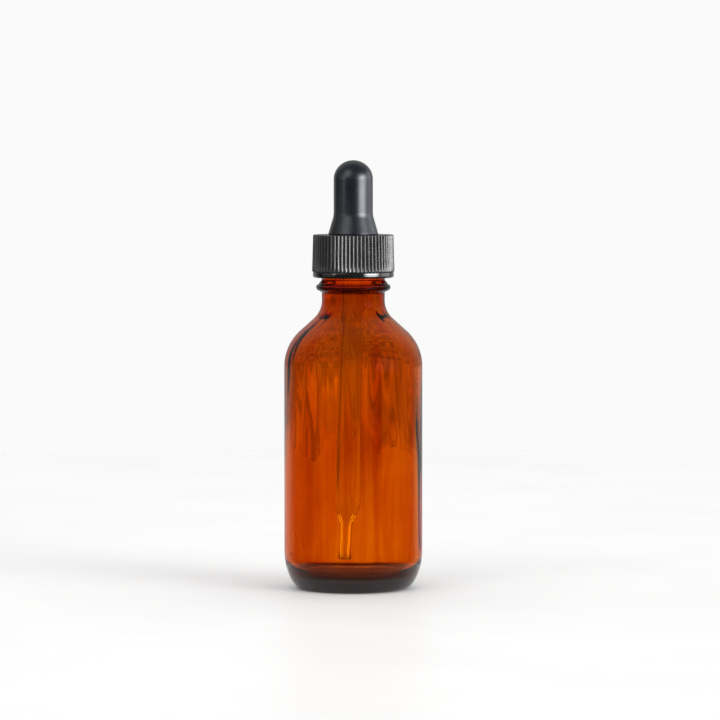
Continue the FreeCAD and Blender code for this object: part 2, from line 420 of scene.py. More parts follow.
class Shader(Nodes):
    """A node material with one surface shader."""

    def __init__(self, name: str, **values: object) -> None:
        """Starts a material with a Principled surface.

        Args:
            name: the material's name.
            values: surface sockets to set, written with underscores for spaces.
        """
        self.material = bpy.data.materials.new(name)
        self.material.use_nodes = True
        super().__init__(self.material.node_tree, "Object")
        self.surface = self.tree.nodes["Principled BSDF"]
        for key, value in values.items():
            self.surface.inputs[key.replace("_", " ")].default_value = value

    def feed(self, name: str, source: Socket) -> None:
        """Joins a socket to one of the surface's."""
        self.link(source, self.surface.inputs[name])

    def painted(self, name: str) -> Socket:
        """A share that was stored at the mesh's points."""
        return self.add("ShaderNodeAttribute", attribute_name=name).outputs["Fac"]

    def plain(self, colour: Colour) -> Socket:
        """One colour."""
        node = self.add("ShaderNodeRGB")
        node.outputs[0].default_value = (*colour, 1.0)
        return node.outputs[0]

    def ramp(self, factor: Socket, low: float, dark: Colour, high: float, light: Colour) -> Socket:
        """Colour that goes from the first to the second as the factor goes from low to high."""
        node = self.add("ShaderNodeValToRGB")
        for element, position, colour in zip(node.color_ramp.elements, (low, high), (dark, light)):
            element.position = position
            element.color = (*colour, 1.0)
        self.link(factor, node.inputs["Fac"])
        return node.outputs["Color"]

    def blend(self, factor: Socket, a: Socket, b: Socket, mode: str = "MIX") -> Socket:
        """Mixes two colours by a factor."""
        node = self.add("ShaderNodeMix", data_type="RGBA", blend_type=mode)
        self.link(factor, node.inputs["Factor"])
        self.link(a, node.inputs[6])
        self.link(b, node.inputs[7])
        return node.outputs[2]

    def absorb(self, per_metre: Colour) -> None:
        """Light lost inside the glass: density times (1 - colour) is the loss per metre.

        Args:
            per_metre: natural-log loss of red, green and blue over one metre.
        """
        density = max(per_metre) * 1.02
        node = self.add("ShaderNodeVolumeAbsorption")
        node.inputs["Density"].default_value = density
        node.inputs["Color"].default_value = (*(1 - loss / density for loss in per_metre), 1.0)
        output = next(n for n in self.tree.nodes if n.type == "OUTPUT_MATERIAL")
        self.link(node.outputs["Volume"], output.inputs["Volume"])

    def bump(self, height: Socket, distance: float, strength: float) -> None:
        """Adds relief of a height pattern to the surface.

        Args:
            height: the pattern.
            distance: its full height in metres.
            strength: how much of it shows.
        """
        node = self.add("ShaderNodeBump")
        node.inputs["Strength"].default_value = strength
        node.inputs["Distance"].default_value = distance
        self.link(height, node.inputs["Height"])
        self.feed("Normal", node.outputs["Normal"])


@dataclass(frozen=True)
class AmberGlass:
    """Amber bottle glass: tint, streaks of deeper tint, a darker thick bead, a dark heel that is thick
    glass and painted shade of the floor under it, and painted shade on the left side.
    """

    tint: Colour = (0.92, 0.61, 0.06)
    deep: Colour = (0.66, 0.26, 0.02)
    # Heel colours: thick glass and painted shade of the dark floor under the bottle.
    heel: Colour = (0.030, 0.013, 0.009)
    heel_shade: float = 0.7
    heel_level: Pair = (0.0030, 0.0050)
    bead: Colour = (0.10, 0.028, 0.010)
    # Painted shade: colour that darkens the left side of the body, and the span of X over which it fades
    # in.
    left_shade: Colour = (0.90, 0.78, 0.80)
    left_shade_span: Pair = (-0.019, 0.006)
    index: float = 1.52
    absorbed: Colour = (40.0, 285.0, 1450.0)
    gleam: Colour = (0.50, 0.30, 0.20)
    ripple: float = 0.00004

    def build(self) -> Material:
        """Builds the material."""
        shader = Shader("amber_glass", Transmission_Weight=1.0, Roughness=0.0, IOR=self.index)
        streaks = shader.noise(62.0, 3.0, 0.55, 0.32)
        clouds = shader.spread(shader.noise(38.0, 2.0, 0.5, 0.8), 0.15, 0.85, 0.36, 0.64)
        lines = shader.spread(shader.noise(330.0, 2.0, 0.55, 0.03), 0.0, 0.7, 0.45, 0.72)
        # Painted shade: the left side of the body is multiplied darker.
        side = shader.spread(shader.axis("X"), 0.7, 0.0, *self.left_shade_span)
        low = shader.spread(shader.axis("Z"), 1.0, 0.0, *self.heel_level)
        bead = shader.painted("bead")
        streaked = shader.ramp(streaks, 0.34, self.tint, 0.70, self.deep)
        lined = shader.ramp(streaks, 0.3, self.tint, 0.8, self.deep)
        shaded = tuple(c * self.heel_shade for c in self.heel)
        body = shader.blend(clouds, streaked, shader.plain(self.tint))
        body = shader.blend(lines, body, lined, "MULTIPLY")
        body = shader.blend(side, body, shader.plain(self.left_shade), "MULTIPLY")
        body = shader.blend(bead, body, shader.plain(self.bead))
        # Dark heel at the bottom: thick glass and painted shade of the floor beneath it.
        heel = shader.ramp(streaks, 0.3, self.heel, 0.8, shaded)
        shader.feed("Base Color", shader.blend(low, body, heel))
        thick = shader.math("MAXIMUM", low, bead)
        shader.feed("Specular Tint", shader.ramp(thick, 0.0, self.gleam, 1.0, WHITE))
        shader.bump(shader.noise(140.0, 2.0, 0.5, 0.35), self.ripple, 0.6)
        shader.absorb(self.absorbed)
        return shader.material


@dataclass(frozen=True)
class ClearGlass:
    """Drawn clear tube with faint draw lines along it, and a painted highlight: its fine bore glows where
    it is seen edge-on.
    """

    tint: Colour = (0.96, 0.98, 0.97)
    paler: float = 1.02
    index: float = 1.49
    # Painted highlight: emission strength, colour and edge-on range of the bore's glow.
    painted_glow: float = 3.8
    painted_glow_tint: Colour = (1.0, 0.86, 0.62)
    painted_glow_facing: Pair = (0.30, 0.62)
    line_height: float = 0.00001

    def build(self) -> Material:
        """Builds the material."""
        shader = Shader("clear_glass", Transmission_Weight=1.0, Roughness=0.008, IOR=self.index,
                        Emission_Color=(*self.painted_glow_tint, 1.0))
        lines = shader.noise(900.0, 2.0, 0.5, 0.02)
        pale = tuple(min(1.0, c * self.paler) for c in self.tint)
        shader.feed("Base Color", shader.ramp(lines, 0.3, self.tint, 0.7, pale))
        shader.bump(lines, self.line_height, 0.4)
        weight = shader.add("ShaderNodeLayerWeight")
        weight.inputs["Blend"].default_value = 0.25
        # Painted highlight: the bore glows at its edge-on parts, though it is no lamp.
        painted_edge_glow = shader.spread(weight.outputs["Facing"], 0.0, self.painted_glow, *self.painted_glow_facing)
        shader.feed("Emission Strength", shader.math("MULTIPLY", shader.painted("bore"), painted_edge_glow))
        return shader.material


@dataclass(frozen=True)
class BlackPlastic:
    """Moulded black plastic: satin, a fine texture, rib crests lighter from wear and a painted highlight,
    and a glossy rim.
    """

    colour: Colour = (0.006, 0.0065, 0.0065)
    # Lighter crest colour: partly wear, partly a painted highlight on the rib crests.
    scuffed_and_highlit: Colour = (0.080, 0.081, 0.084)
    satin: Pair = (0.30, 0.40)
    rim_roughness: float = 0.12
    grain_height: float = 0.000012

    def build(self) -> Material:
        """Builds the material."""
        shader = Shader("black_plastic", IOR=1.5, Specular_IOR_Level=0.9)
        grain = shader.noise(5200.0, 4.0, 0.6)
        patches = shader.noise(260.0, 3.0, 0.6)
        scuff_patches = shader.spread(patches, 0.15, 0.8, 0.35, 0.7)
        # Rib crests painted lighter: wear and a painted highlight.
        scuffed_and_highlit_share = shader.math("MULTIPLY", shader.painted("crest"), scuff_patches)
        scuffed_and_highlit = shader.ramp(grain, 0.2, self.scuffed_and_highlit, 0.9, self.colour)
        shader.feed("Base Color", shader.blend(scuffed_and_highlit_share, shader.plain(self.colour), scuffed_and_highlit))
        satin = shader.spread(patches, *self.satin, 0.3, 0.7)
        shader.feed("Roughness", shader.between(shader.painted("gloss"), satin, self.rim_roughness))
        shader.bump(grain, self.grain_height, 0.35)
        return shader.material


@dataclass(frozen=True)
class BlackRubber:
    """Moulded rubber: blue-black satin with a soft bloom and a very fine grain."""

    colour: Colour = (0.0045, 0.0060, 0.0090)
    bloom: Colour = (0.0080, 0.0098, 0.0135)
    dust: float = 2.2
    sheen: Colour = (0.90, 0.93, 1.0)
    satin: Pair = (0.27, 0.35)
    grain_height: float = 0.000015

    def build(self) -> Material:
        """Builds the material."""
        shader = Shader("black_rubber", IOR=1.5, Specular_IOR_Level=0.66, Specular_Tint=(*self.sheen, 1.0))
        haze = shader.noise(150.0, 4.0, 0.6)
        grain = shader.noise(3800.0, 3.0, 0.6)
        specks = shader.spread(shader.noise(1500.0, 1.0, 0.4), 0.0, 1.0, 0.70, 0.78)
        base = shader.ramp(haze, 0.35, self.colour, 0.75, self.bloom)
        dusty = shader.ramp(grain, 0.3, self.bloom, 0.8, tuple(c * self.dust for c in self.bloom))
        shader.feed("Base Color", shader.blend(specks, base, dusty))
        shader.feed("Roughness", shader.spread(haze, *self.satin, 0.3, 0.7))
        shader.bump(grain, self.grain_height, 0.3)
        return shader.material


@dataclass(frozen=True)
class PaleCounter:
    """Pale worktop with faint mottling."""

    colour: Colour = (0.90, 0.90, 0.895)
    vein: Colour = (0.86, 0.86, 0.855)

    def build(self) -> Material:
        """Builds the material."""
        shader = Shader("pale_counter", Roughness=0.45, Specular_IOR_Level=0.2)
        mottle = shader.noise(14.0, 4.0, 0.6)
        shader.feed("Base Color", shader.ramp(mottle, 0.35, self.colour, 0.75, self.vein))
        return shader.material


@dataclass
class Piece:
    """A sub-assembly: its finish, and what it does with a finished mesh."""

    finish: Material

    def dress(self, piece: Object, slot: Slot, *nodes: str) -> Object:
        """Gives a mesh its material and hides the CAD nodes that it stands for.

        Args:
            piece: the mesh object.
            slot: the record's slot; not used.
            nodes: CAD nodes that it replaces.

        Returns:
            The same object.
        """
        piece.data.materials.append(self.finish)
        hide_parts(*nodes)
        LOG.info("%s: %d faces", piece.name, len(piece.data.polygons))
        return piece


@dataclass
class Bottle(Piece):
    """Round-shouldered bottle with a screw finish, a transfer bead and a thick heel."""

    height: float
    body: float = 19.45
    wall: float = 2.0
    heel: Pair = (5.1, 11.4)
    foot_ring: float = 1.6
    ring_rise: float = 0.55
    recess_edge: Pair = (1.2, 0.42)
    push_up: float = 1.8
    floor: float = 4.8
    floor_drop: float = 1.0
    floor_edge: float = 6.5
    inner_heel: float = 9.8
    slope: float = 48.0
    shoulder: float = 13.5
    neck: float = 8.85
    bore: float = 5.9
    bore_round: float = 0.5
    lip_round: float = 0.9
    lip_flat: float = 1.4
    neck_fillet: float = 7.0
    bore_fillet: float = 8.0
    bead: float = 10.45
    bead_level: float = 84.65
    bead_half: float = 0.95
    bead_root: float = 0.5
    bead_fade: float = 1.3
    bead_colour: Pair = (-1.6, 1.9)
    neck_foot: float = 81.1
    lead: float = 3.175
    thread_depth: float = 1.15
    thread_widths: Pair = (2.0, 0.9)
    thread_below_lip: float = 2.0
    thread_turns: float = 1.1
    thread_clear: float = 2.3
    seams: Pair = (math.radians(28), math.radians(208))
    seam_height: float = 0.05
    seam_width: float = 0.22
    seam_foot: float = 8.0
    knurls: int = 48
    knurl_height: float = 0.10
    knurl_band: Pair = (12.5, 14.6)
    wave_orders: tuple[int, ...] = (2, 3, 5, 7, 9, 13, 19, 29)
    wave_height: float = 0.55
    wave_limit: float = 0.5
    wave_levels: tuple[float, float, float] = (7.0, 88.0, 9.0)
    columns: int = 240

    def __post_init__(self) -> None:
        """Works out where the shoulder's cone and arc lie: the cone is tangent to both its arcs."""
        slope = math.radians(self.slope)
        self.rise, self.across = math.cos(slope), math.sin(slope)
        fillet = (self.neck_fillet * self.rise, self.neck_fillet * self.across)
        self.neck_centre = (self.neck + self.neck_fillet, self.neck_foot)
        self.cone_top = (self.neck_centre[0] - fillet[0], self.neck_foot - fillet[1])
        cone_foot_radius = self.body - self.shoulder * (1 - self.rise)
        cone_foot_level = self.cone_top[1] - (cone_foot_radius - self.cone_top[0]) / math.tan(slope)
        self.shoulder_centre = (self.body - self.shoulder, cone_foot_level - self.shoulder * self.across)

    def outside(self) -> np.ndarray:
        """Outline from the middle of the push-up to the top of the lip."""
        foot = self.body - self.heel[0]
        ring = self.foot_ring / 2
        recess, recess_rise = self.recess_edge
        lip = self.lip_round
        bead_mid = self.bead - self.bead_half
        shape = (Outline(0, self.push_up)
                 .to(foot - 2 * ring - recess, recess_rise, 10)
                 .round((foot - ring, self.ring_rise), (ring, self.ring_rise), 180, 270, 6)
                 .round((foot, self.heel[1]), self.heel, -90, 0, 26)
                 .round(self.shoulder_centre, self.shoulder, 0, self.slope, 18, 40)
                 .round(self.neck_centre, self.neck_fillet, 180 + self.slope, 180, 14, 7)
                 .to(self.neck, self.bead_level - self.bead_half - self.bead_root, 6)
                 .glide(bead_mid, self.bead_level - self.bead_half, 5)
                 .round((bead_mid, self.bead_level), self.bead_half, -90, 80, 14)
                 .glide(self.neck, self.bead_level + self.bead_half + self.bead_fade, 8)
                 .round((self.neck - lip, self.height - lip), lip, 0, 90, 8, 62))
        return shape.points()

    def inside(self) -> np.ndarray:
        """Outline from the top of the lip down to the middle of the floor."""
        inner = self.body - self.wall
        turn = self.shoulder - self.wall
        fillet, soft = self.bore_fillet, self.bore_round
        reach = self.bore + fillet - self.neck_centre[0]
        drop = (self.neck_fillet + self.wall - fillet + self.rise * reach) / self.across
        centre = (self.bore + fillet, self.neck_foot - drop)
        edge = self.body - self.floor_edge
        floor_arc = (inner - edge, self.inner_heel - self.floor + self.floor_drop)
        shape = (Outline(self.neck - self.lip_flat, self.height)
                 .round((self.bore + soft, self.height - soft), soft, 90, 180, 6, 3)
                 .round(centre, fillet, 180, 180 + self.slope, 16, 14)
                 .round(self.shoulder_centre, turn, self.slope, 0, 18, 10)
                 .round((edge, self.inner_heel), floor_arc, 0, -90, 22, 62)
                 .glide(0, self.floor, 12))
        return shape.points()

    def make(self) -> None:
        """Turned surface, with thread, mould seams, foot knurl and uneven inner wall added to it.

        The thread adds its height share times its depth to the neck's radius. Each seam adds a
        bell curve of the azimuth. The knurl lifts the foot ring by a cosine of the azimuth. The
        inner wall's radius gains a sum of low waves.
        """
        outer = self.outside()
        radius, azimuth, level = lathe(np.concatenate([outer, self.inside()]), self.columns)
        out = np.arange(len(radius))[:, None] < len(outer)
        foot = self.height - self.thread_below_lip - self.lead * self.thread_turns
        thread = Thread(foot, self.lead, 0.0, self.thread_turns, *self.thread_widths)
        on_neck = out & (level > self.bead_level + self.thread_clear) & (radius > self.neck - 0.01)
        radius = radius + np.where(on_neck, thread.height(azimuth, level) * self.thread_depth, 0)
        away = [np.abs((azimuth - seam + math.pi) % TURN - math.pi) for seam in self.seams]
        bell = sum(np.exp(-(a * radius / self.seam_width) ** 2) for a in away)
        below, above = (self.bead_level + step for step in self.bead_colour)
        ends = window(level, self.seam_foot, below, 3.0)
        radius = radius + np.where(out, self.seam_height * ends * (bell - 1), 0)
        knurl = self.knurl_height * (0.5 - 0.5 * np.cos(self.knurls * azimuth))
        level = level + np.where(out & (level < 1.0), knurl * window(radius, *self.knurl_band, 0.6), 0)
        waves = self.wall_waves(azimuth, level) * window(level, *self.wave_levels)
        radius = radius + np.where(~out, waves, 0)
        faces = grid_faces(*radius.shape, Ends.POLES)
        piece = make_piece("bottle_glass", place(radius, azimuth, level), faces)
        on_bead = smooth((radius - self.neck - 0.2) / 0.8) * window(level, below, above, 0.5)
        paint(piece, "bead", on_bead, Ends.POLES)
        self.dress(piece, Slot.AMBER, "bottle")
        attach(piece, Body.BOTTLE.value)

    def wall_waves(self, azimuth: np.ndarray, level: np.ndarray) -> np.ndarray:
        """Unevenness of the blown inner wall: waves cos(m a + k z + p) of falling height.

        Args:
            azimuth: angle in radians.
            level: height in millimetres.

        Returns:
            What to add to the inner radius, in millimetres.
        """
        draw = np.random.default_rng(11)
        total = np.zeros_like(level)
        for order in self.wave_orders:
            for _ in range(2):
                pitch, phase = draw.uniform(-0.12, 0.12), draw.uniform(0, TURN)
                total += 0.30 / order * np.cos(order * azimuth + pitch * level + phase)
        for _ in range(4):
            pitch, phase = draw.uniform(0.15, 0.45), draw.uniform(0, TURN)
            total += 0.035 * np.cos(azimuth * draw.integers(1, 4) + pitch * level + phase)
        return np.clip(total, -self.wave_limit, self.wave_limit) * self.wave_height


@dataclass
class ScrewCap(Piece):
    """Cap with a finely ribbed skirt, a plain rim, a centre hole and an internal thread."""

    foot: float
    top: float
    top_radius: float = 11.28
    foot_radius: float = 11.60
    top_edge: float = 0.30
    hole: float = 6.2
    hole_edge: float = 0.15
    ceiling: float = 97.5
    ceiling_round: float = 0.6
    bore: float = 10.2
    bore_edge: float = 0.5
    thread_radius: float = 9.2
    lead: float = 3.175
    helix_foot: float = 87.92
    thread_widths: Pair = (1.5, 0.7)
    thread_turns: float = 1.05
    thread_rise: float = 1.25
    ribs: int = 64
    rib_depth: float = 0.45
    rib_round: float = 0.32
    rib_fade: float = 0.55
    rim_height: float = 1.6
    rim_radius: float = 11.35
    rim_step: float = 0.22
    rim_edge: float = 0.14
    rim_round: float = 0.38
    steps_per_rib: int = 10

    def outline(self) -> np.ndarray:
        """Closed outline: top, skirt with ribs at full height, rim, bore, ceiling and hole."""
        rib_foot = self.foot + self.rim_height
        draft = (self.foot_radius - self.top_radius) / (self.top - self.foot)
        skirt_low = self.foot_radius - draft * self.rim_height
        edge, bend, soft = self.top_edge, self.rim_round, self.rib_round
        corner, mouth, roof, inner = self.rim_edge, self.bore_edge, self.ceiling_round, self.hole_edge
        step = rib_foot - self.rim_step
        shape = (Outline(self.hole + inner, self.top)
                 .to(self.top_radius - self.rib_depth - 0.5, self.top, 5)
                 .to(self.top_radius - edge - 0.02, self.top, 2)
                 .round((self.top_radius - edge, self.top - edge), edge, 90, 0, 6)
                 .round((skirt_low - soft, rib_foot + soft), soft, 0, -90, 4, 10)
                 .to(self.rim_radius - 0.30, rib_foot, 1)
                 .to(self.rim_radius - 0.30, step, 2)
                 .round((self.rim_radius - corner, step), corner, 90, 0, 3)
                 .round((self.rim_radius - bend, self.foot + bend), bend, 0, -90, 7, 4)
                 .to(self.bore + mouth, self.foot, 1)
                 .to(self.bore, self.foot + mouth, 3)
                 .round((self.bore - roof, self.ceiling - roof), roof, 0, 90, 4, 44)
                 .to(self.hole, self.ceiling, 4)
                 .round((self.hole + inner, self.top - inner), inner, 180, 112, 3, 4))
        return shape.points()

    def make(self) -> None:
        """Closed turned surface whose skirt radius falls by the rib depth between ribs.

        A rib's height share is half of (1 + cos of ribs times azimuth), to the power 3/4. The
        thread's height share comes off the bore's radius.
        """
        rib_foot = self.foot + self.rim_height
        radius, azimuth, level = lathe(self.outline(), self.ribs * self.steps_per_rib)
        skirt = (radius > self.top_radius - self.rib_depth - 0.4) & (level > rib_foot - 0.01)
        share = (0.5 + 0.5 * np.cos(self.ribs * azimuth)) ** 0.75
        falls = np.where(skirt, self.rib_depth * (1 - share), 0)
        low = smooth((rib_foot + 0.75 - level) / 0.6)
        radius = radius - falls * (1 - self.rib_fade * low)
        first = (self.foot + self.thread_rise - self.helix_foot) / self.lead
        thread = Thread(self.helix_foot, self.lead, first, self.thread_turns, *self.thread_widths)
        inside = (np.abs(radius - self.bore) < 0.05) & (level > self.foot + self.bore_edge)
        depth = self.bore - self.thread_radius
        radius = radius - np.where(inside, thread.height(azimuth, level) * depth, 0)
        faces = grid_faces(*radius.shape, Ends.LOOP)
        piece = make_piece("cap_ribbed", place(radius, azimuth, level), faces, 50.0)
        # Crest share: where the cap's material paints wear and a highlight on the ribs.
        paint(piece, "crest", np.where(skirt, share, 0), Ends.LOOP)
        paint(piece, "gloss", smooth((rib_foot + 0.1 - level) / 0.1), Ends.LOOP)
        self.dress(piece, Slot.PLASTIC, "screw_cap")
        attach(piece, Body.CAP.value)


@dataclass(frozen=True)
class Band:
    """A stretch of the bulb, and how far the face where bending starts comes in over its height."""

    name: str
    rise: float
    lean: float


@dataclass
class Bulb(Piece):
    """Rubber moulding: collar and flange in one piece, and two halves in bands that fingers press."""

    flange_foot: float
    top: float
    foot: float = 99.45
    foot_round: float = 0.25
    tube: float = 5.5
    dome_share: float = 0.97
    flare: float = 7.0
    flare_slope: float = 15.5
    flare_blend: float = 6.0
    collar: float = 6.12
    flange: float = 9.45
    flange_round: float = 0.2
    flange_top: float = 97.45
    groove: tuple[float, float, float] = (7.3, 0.3, 0.22)
    bore: float = 3.45
    bore_flare: Pair = (0.3, 0.8)
    quiet: float = 6.2
    bend: float = 4.8
    bands: tuple[Band, ...] = (
        Band("flare", 0.0, 0.62),
        Band("root", 5.6, 0.40),
        Band("lower", 8.0, 0.16),
        Band("middle", 10.2, -0.06),
        Band("upper", 12.4, -0.24),
        Band("crown", 14.8, -0.36),
    )
    columns: int = 96
    collar_columns: int = 128
    foot_points: int = 6
    cut_gap: float = 0.05
    crease: float = 30.0

    def outline(self) -> np.ndarray:
        """Outline of the bulb from the middle of its foot, over the flare and tube, to its top."""
        slope = math.radians(self.flare_slope)
        blend_rise = self.flare_blend * math.sin(slope)
        blend_reach = self.flare_blend * (1 - math.cos(slope))
        cone = (self.flare - self.tube - blend_reach) / math.tan(slope)
        tube_foot = self.foot + cone + blend_rise
        dome = self.tube * self.dome_share
        soft = self.foot_round
        shape = (Outline(0, self.foot)
                 .round((self.flare - soft, self.foot + soft), soft, -90, 12, 5, self.foot_points - 1)
                 .round((self.tube + self.flare_blend, tube_foot), self.flare_blend,
                        180 + self.flare_slope, 180, 12, 10)
                 .round((0, self.top - dome), (self.tube, dome), 0, 90, 30, 22))
        points = shape.points()
        points[-1, 0] = 0.0
        return points

    def half(self, side: Side) -> None:
        """Half of the bulb on one side of its middle plane, in bands that meet without a step.

        Each band takes the outline's radius at its cuts, so neighbours stay together.

        Args:
            side: which half.
        """
        quiet = self.quiet
        tops = [band.rise for band in self.bands[1:]] + [self.top - self.foot]
        for band, top in zip(self.bands, tops):
            piece = self.half_band(side, band, top)
            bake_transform(piece)
            quiet -= band.lean * (top - band.rise)

    def half_band(self, side: Side, band: Band, top: float) -> Object:
        """One band of a half: the outline between two cuts, turned by half a turn.

        Its first and last columns lie on the middle plane, so the faces that join them close it.

        Args:
            side: which half.
            band: which band.
            top: where it ends, above the bulb's foot.

        Returns:
            The band.
        """
        outline = self.outline()
        skin = outline[self.foot_points:]
        cuts = np.array([self.foot + band.rise, self.foot + top])
        low, high = zip(np.interp(cuts, skin[:, 1], skin[:, 0]), cuts)
        if band is not self.bands[0]:
            kept = skin[skin[:, 1] > low[1] + self.cut_gap]
            outline = np.concatenate([[(0.0, low[1]), low], kept])
        if band is not self.bands[-1]:
            kept = outline[outline[:, 1] < high[1] - self.cut_gap]
            outline = np.concatenate([kept, [high, (0.0, high[1])]])
        centre = 0.0 if side is Side.RIGHT else math.pi
        azimuth = centre + np.linspace(-math.pi / 2, math.pi / 2, self.columns + 1)
        radius, _, level = lathe(outline, self.columns + 1)
        points = place(radius, azimuth, level)
        points[:, [0, -1], 0] = 0.0
        name = side.name.lower()
        faces = grid_faces(*radius.shape, Ends.POLES)
        piece = make_piece(f"bulb_{name}_{band.name}", points, faces, self.crease)
        self.steady_normals(piece, skin)
        return self.dress(piece, Slot.RUBBER, f"bulb_wall_{name}")

    def steady_normals(self, piece: Object, skin: np.ndarray) -> None:
        """Gives the skin the normals of the whole turned shape, so no line shows where pieces meet.

        A skin corner's normal is the outline's outward direction at its level, turned to its
        azimuth. Corners of the flat inner face, the foot and the cuts keep their faces' normals.

        Args:
            piece: a band of a half.
            skin: the outline that was turned, without the foot.
        """
        mesh = piece.data
        slope = np.gradient(skin, axis=0)
        outward = np.stack([slope[:, 1], -slope[:, 0]], 1)
        outward /= np.linalg.norm(outward, axis=1)[:, None]
        outward[-1] = (0.0, 1.0)
        points = fetch(mesh.vertices, "co", 3, np.float32) / MM
        radial = np.interp(points[:, 2], skin[:, 1], outward[:, 0])
        upward = np.interp(points[:, 2], skin[:, 1], outward[:, 1])
        away = np.maximum(np.hypot(points[:, 0], points[:, 1]), 1e-6)
        turned = np.stack([points[:, 0] / away * radial, points[:, 1] / away * radial, upward], 1)
        corner = fetch(mesh.loops, "vertex_index", 1, np.int32)[:, 0]
        totals = fetch(mesh.polygons, "loop_total", 1, np.int32)[:, 0]
        face_of = np.repeat(fetch(mesh.polygons, "normal", 3, np.float32), totals, 0)
        inner = (np.abs(face_of[:, 0]) > 0.999) & (np.abs(points[corner, 0]) < 1e-4)
        below_crown = points[corner, 2] < self.foot + self.bands[-1].rise + 0.01
        cut = (np.abs(face_of[:, 2]) > 0.9) & below_crown
        normals = np.where((inner | cut)[:, None], face_of, turned[corner])
        mesh.normals_split_custom_set(normals.tolist())

    def make_collar(self) -> None:
        """Closed ring: collar through the cap and the flange that seals on the lip."""
        soft = self.flange_round
        rim = self.flange - soft
        middle, half, depth = self.groove
        flare, flare_rise = self.bore_flare
        shape = (Outline(self.bore, self.flange_foot + flare)
                 .to(self.bore + flare, self.flange_foot, 2)
                 .to(middle - half - 0.1, self.flange_foot, 4)
                 .round((middle, self.flange_foot), (half, depth), 180, 0, 8)
                 .round((rim, self.flange_foot + soft), soft, -90, 0, 4, 3)
                 .round((rim, self.flange_top - soft), soft, 0, 90, 4, 3)
                 .to(self.collar, self.flange_top, 4)
                 .to(self.collar, self.foot, 4)
                 .to(self.bore, self.foot, 3)
                 .to(self.bore, self.flange_foot + flare_rise, 5))
        grid = lathe(shape.points(), self.collar_columns)
        faces = grid_faces(*grid[0].shape, Ends.LOOP)
        piece = make_piece("bulb_collar", place(*grid), faces, self.crease)
        self.dress(piece, Slot.RUBBER, "rubber_bulb")
        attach(piece, Body.DROPPER.value)

    def make(self) -> None:
        """The collar and the bands of both halves."""
        self.make_collar()
        self.half(Side.LEFT)
        self.half(Side.RIGHT)


@dataclass
class Pipette(Piece):
    """Drawn glass tube with a flared lip, a long taper and a ball tip, leaning to the left."""

    seat: float = 101.6
    outer: float = 3.5
    wall: float = 1.0
    lip_reach: float = 0.4
    lip_foot: float = 0.4
    lip_height: float = 0.75
    tip: float = 8.2
    fine: float = 1.7
    orifice: float = 0.7
    orifice_round: float = 0.4
    ball: float = 1.85
    ball_round: float = 0.62
    ball_length: float = 2.2
    tip_length: float = 9.4
    taper: float = 6.0
    lean: float = 1.6
    pivot: float = 96.25
    columns: int = 96

    def make(self) -> None:
        """Closed turned tube, then tipped about the level pivot: x gains (z - pivot) sin(lean)."""
        inner = self.outer - self.wall
        taper_foot = self.tip + self.tip_length
        taper_top = taper_foot + self.taper
        lip = self.outer + self.lip_reach
        lip_mid = (lip + inner) / 2
        lip_foot = self.seat + self.lip_foot
        ball, soft = self.ball_round, self.orifice_round
        outside = (Outline((self.orifice + self.fine) / 2, self.tip)
                   .round((self.ball - ball, self.tip + ball), ball, -70, 25, 10)
                   .glide(self.fine, self.tip + self.ball_length, 8)
                   .to(self.fine, taper_foot, 14)
                   .glide(self.outer, taper_top, 40)
                   .to(self.outer, self.seat, 90)
                   .glide(lip, lip_foot, 5)
                   .round((lip_mid, lip_foot), (lip - lip_mid, self.lip_height), 0, 180, 14)
                   .to(inner, taper_top, 90)).points()
        bore = (Outline(inner, taper_top)
                .glide(self.orifice, taper_foot, 40)
                .to(self.orifice, self.tip + soft + 0.05, 14)
                .round((self.orifice + soft, self.tip + soft), soft, 180, 250, 5)).points()[1:]
        radius, azimuth, level = lathe(np.concatenate([outside, bore]), self.columns)
        x, y, z = np.moveaxis(place(radius, azimuth, level), -1, 0)
        sine, cosine = math.sin(math.radians(self.lean)), math.cos(math.radians(self.lean))
        rise = z - self.pivot
        points = np.stack([x * cosine + rise * sine, y, self.pivot + rise * cosine - x * sine], -1)
        piece = make_piece("pipette_glass", points, grid_faces(*radius.shape, Ends.LOOP))
        # Where the bore's painted highlight glows: the drawn taper and tip.
        in_bore = np.arange(len(radius))[:, None] >= len(outside)
        drawn = window(level, self.tip + 0.3, taper_foot + 0.6 * self.taper, 0.8)
        paint(piece, "bore", in_bore * drawn, Ends.LOOP)
        self.dress(piece, Slot.CLEAR, "glass_pipette")
        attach(piece, Body.DROPPER.value)


def unit(azimuth: float, elevation: float) -> np.ndarray:
    """Unit vector, in degrees: azimuth to the right of the camera's side, and elevation."""
    around, up = math.radians(azimuth), math.radians(elevation)
    return np.array([math.sin(around) * math.cos(up), -math.cos(around) * math.cos(up), math.sin(up)])


def look_along(direction: np.ndarray) -> object:
    """Euler angles that turn -Z along a direction with +Y up."""
    return Vector(direction.tolist()).to_track_quat("-Z", "Y").to_euler()


@dataclass(frozen=True)
class Glow:
    """A soft patch of light in the room that gloss and glass reflect, with angles in degrees."""

    azimuth: float
    elevation: float
    inner: float
    outer: float
    strength: float
    sill: Pair = (-90.0, -89.0)
    lintel: Pair = (88.0, 90.0)
    through: float = 0.0


